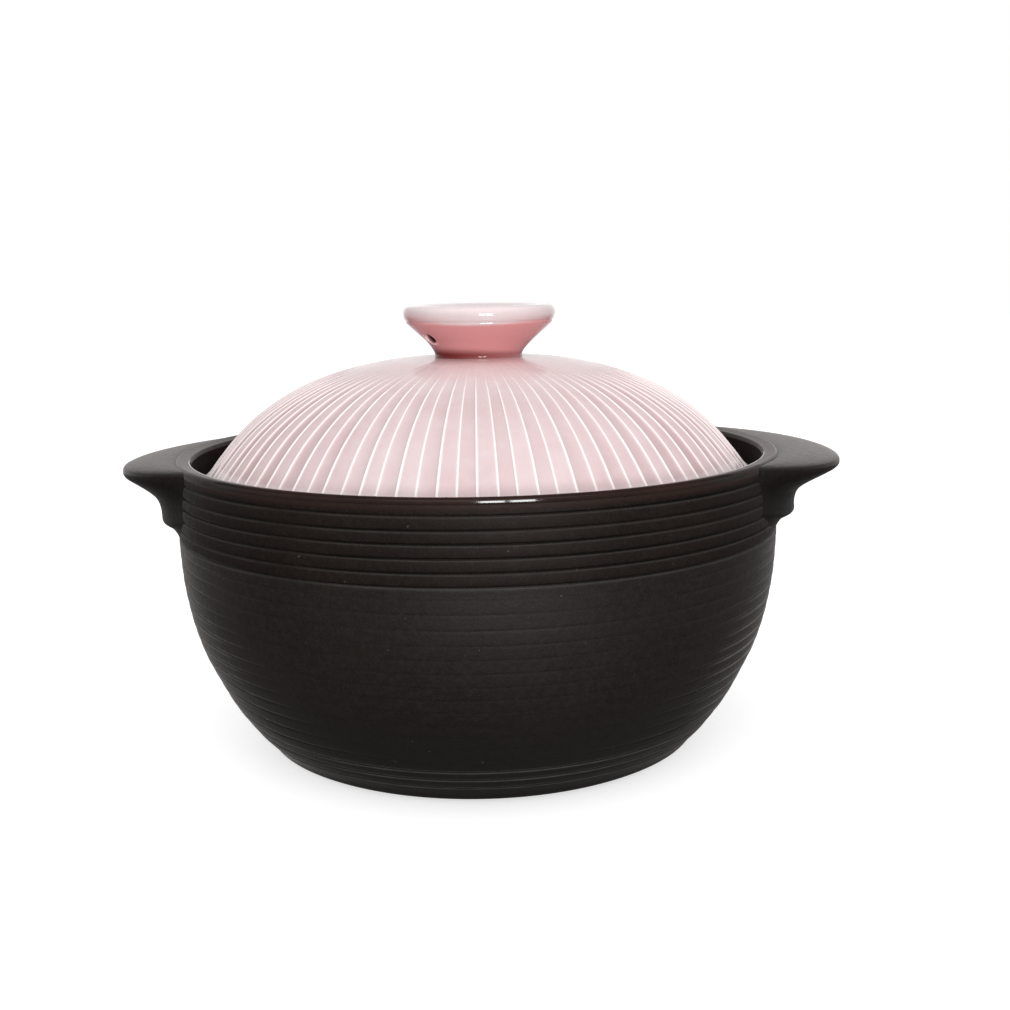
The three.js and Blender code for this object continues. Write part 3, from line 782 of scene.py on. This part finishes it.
    # the line under the lip between the pale lip and the deeper pink cone runs lower at the front and back than at the
    # sides. The pale lip and deeper pink cone are partly the glaze and partly painted light on the lip and painted
    # shade on the cone.
    line = z + 0.35 + 0.80 * np.cos(2 * (turnv - math.radians(90))) + 0.12 * np.sin(3 * turnv + 0.6)
    sides = np.abs(np.cos(turnv)) ** 2
    below_line = 1 - smooth(line, 154.9, 156.1)
    # below the line the cone is deeper pink; above it the lip is deeper pink towards its sides, most on the left
    put(done, "deep", below_line * 0.85 + (0.14 + 0.58 * left) * sides * (1 - below_line) * (1 - smooth(line, 157, 160)))
    # darker red round the foot, heaviest on the left, and painted shade down the left and right sides of the cone
    put(done, "pool_and_shade", np.clip((1 - smooth(z, 142.9, 143.8 + 2.8 * left)) * (0.28 + 0.72 * left) + 0.28 * below_line * smooth(np.abs(np.cos(turnv)), 0.84, 0.99), 0, 1))
    off, along, low = round_vent(co)
    # painted shade inside the vent
    put(done, "vent_shade", (1 - smooth(off, 2.15, 2.45)) * (1 - smooth(along, 3.0, 3.9)) * smooth(along, -10.0, -9.2))
    # a painted highlight on the vent's lower lip, added to the pale lip
    mouth = smooth(off, 2.05, 2.4) * (1 - smooth(off, 3.0, 3.9)) * smooth(along, 2.2, 3.0) * low
    put(done, "pale", np.clip(smooth(line, 155.2, 157.4) * (0.32 + 0.06 * sides) + 1.0 * mouth, 0, 1))
    done.materials.clear()
    done.materials.append(MAT_KNOB)
    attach(obj, "lid")
    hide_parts("lid_knob")
    return obj


make_bowl()
make_handle("handle_right_wing", "handle_right", False, 23.9, 34.5, 2.5, 1.55, 1.6, 0.86, -1.2, 1.0, 1.1)
make_handle("handle_left_wing", "handle_left", True, 21.6, 30.0, 2.2, 1.55, -1.2, 1.0, 0.2, -0.3, 0.45)
make_lid()
make_knob()


# ------------------------------------------------------------------ floor, light and camera
def make_floor():
    n, rings = 96, [0.0, 0.25, 0.6, 1.2, 2.4, 4.0]
    verts = [(0, 0, -0.05)]
    for r in rings[1:]:
        verts += [(r * 1000 * math.cos(a), r * 1000 * math.sin(a), -0.05) for a in np.linspace(0, 2 * math.pi, n, endpoint=False)]
    tris = [(0, 1 + j, 1 + (j + 1) % n) for j in range(n)]
    quads = []
    for i in range(len(rings) - 2):
        for j in range(n):
            a, b2 = 1 + i * n + j, 1 + i * n + (j + 1) % n
            quads.append((a, a + n, b2 + n, b2))
    obj = new_object("studio_floor", np.array(verts), quads, tris)
    m, t, b = material("floor_white")
    soft = noise(t, 6, 2, 0.5)
    t.links.new(blend(t, soft, (0.62, 0.62, 0.62), (0.66, 0.66, 0.66)), b.inputs["Base Color"])
    b.inputs["Roughness"].default_value = 0.8
    b.inputs["Specular IOR Level"].default_value = 0.1
    b.inputs["Emission Color"].default_value = (1, 1, 1, 1)
    b.inputs["Emission Strength"].default_value = 0.62
    obj.data.materials.append(m)
    # the floor catches the shadow but throws no light back up at the dark clay
    obj.visible_diffuse = False
    obj.visible_glossy = False


def area(name, pos, aim, size, power, colour=(1, 1, 1), size_y=None):
    d = bpy.data.lights.new(name, "AREA")
    d.energy = power
    d.color = colour
    d.shape = "RECTANGLE"
    d.size = size
    d.size_y = size_y or size
    o = bpy.data.objects.new(name, d)
    scene.collection.objects.link(o)
    o.location = pos
    o.rotation_euler = (Vector(aim) - Vector(pos)).to_track_quat("-Z", "Y").to_euler()
    return o


def make_light():
    w = bpy.data.worlds.new("studio")
    scene.world = w
    w.use_nodes = True
    t = w.node_tree
    t.nodes.clear()
    out = t.nodes.new("ShaderNodeOutputWorld")
    seen = t.nodes.new("ShaderNodeBackground")
    seen.inputs[0].default_value = (1, 1, 1, 1)
    seen.inputs[1].default_value = 1.0
    light = t.nodes.new("ShaderNodeBackground")
    co = t.nodes.new("ShaderNodeTexCoord").outputs["Generated"]
    sep = t.nodes.new("ShaderNodeSeparateXYZ")
    t.links.new(co, sep.inputs[0])
    front = remap(t, sep.outputs["Y"], 0.20, 0.90, 0.0, 1.0)
    level = blend(t, front, (0.28, 0.28, 0.282), (0.80, 0.80, 0.80))
    above = remap(t, sep.outputs["Z"], 0.18, 0.85, 0.0, 1.0)
    level = blend(t, above, level, (0.66, 0.66, 0.66))
    # a broad soft panel above the front
    aim = t.nodes.new("ShaderNodeVectorMath")
    aim.operation = "DOT_PRODUCT"
    aim.inputs[1].default_value = (0.0, -0.50, 0.866)
    t.links.new(co, aim.inputs[0])
    level = blend(t, remap(t, aim.outputs["Value"], 0.55, 0.97, 0.0, 1.0), level, (1.15, 1.15, 1.15), "ADD")
    below = remap(t, sep.outputs["Z"], -0.30, 0.0, 1.0, 0.0)
    level = blend(t, below, level, (0.10, 0.10, 0.10))
    # the white sweep behind the pot runs on below the horizon
    sweep = math_node(t, "MULTIPLY", remap(t, sep.outputs["Y"], 0.72, 0.95, 0.0, 1.0), remap(t, sep.outputs["Z"], 0.10, 0.42, 1.0, 0.0))
    sweep = math_node(t, "MULTIPLY", sweep, remap(t, sep.outputs["Z"], -0.45, -0.28, 0.0, 1.0))
    t.links.new(blend(t, sweep, level, (1.1, 1.1, 1.1)), light.inputs[0])
    light.inputs[1].default_value = 1.0
    path = t.nodes.new("ShaderNodeLightPath")
    mix = t.nodes.new("ShaderNodeMixShader")
    t.links.new(path.outputs["Is Camera Ray"], mix.inputs[0])
    t.links.new(light.outputs[0], mix.inputs[1])
    t.links.new(seen.outputs[0], mix.inputs[2])
    t.links.new(mix.outputs[0], out.inputs[0])
    area("front_lamp_a", (0.166, -1.695, 0.22), (0, 0, 0.12), 0.25, 8.0, size_y=0.45)
    area("front_lamp_b", (0.463, -1.604, 0.22), (0, 0, 0.12), 0.25, 8.0, size_y=0.45)


def make_camera():
    d = bpy.data.cameras.new("camera")
    d.sensor_fit = "HORIZONTAL"
    d.sensor_width = 36.0
    d.lens = 1284.64 * 36.0 / 1010.0
    d.dof.use_dof = False
    d.clip_start, d.clip_end = 0.01, 50
    o = bpy.data.objects.new("camera", d)
    scene.collection.objects.link(o)
    pitch, roll = math.radians(10.434), math.radians(-0.893)
    m = Matrix.Translation((0.00996, -0.480, (RIM_Z + 66.23) * MM))
    m = m @ Matrix.Rotation(math.pi / 2 - pitch, 4, "X") @ Matrix.Rotation(roll, 4, "Z")
    o.matrix_world = m
    scene.camera = o


make_floor()
make_light()
make_camera()
scene.view_settings.view_transform = "Standard"
scene.view_settings.look = "None"
